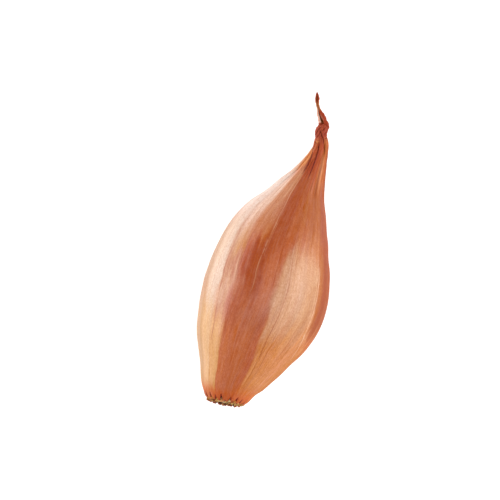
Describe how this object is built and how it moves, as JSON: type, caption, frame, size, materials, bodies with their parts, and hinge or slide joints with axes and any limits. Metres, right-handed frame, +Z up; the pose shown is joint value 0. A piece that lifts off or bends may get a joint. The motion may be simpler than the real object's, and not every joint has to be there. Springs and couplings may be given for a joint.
{
  "type": "shallot",
  "caption": "Long banana shallot in dry copper skin, lying on its side, with a drawn-in neck, a dry leaf tip and a corky root plate.",
  "frame": {"origin": "on the table, under the middle of the shallot's box", "axes": "+Y along the shallot from root to leaf tip, +Z up as it lies, +X across it"},
  "size_m": [0.0418, 0.1078, 0.0397],
  "materials": {
    "papery_skin": "satin",
    "corky_root": "matte",
    "dry_leaf": "matte"
  },
  "bodies": {
    "root": {"bulb": "papery_skin", "root_plate": "corky_root", "dry_leaf_tip": "dry_leaf"}
  },
  "joints": []
}
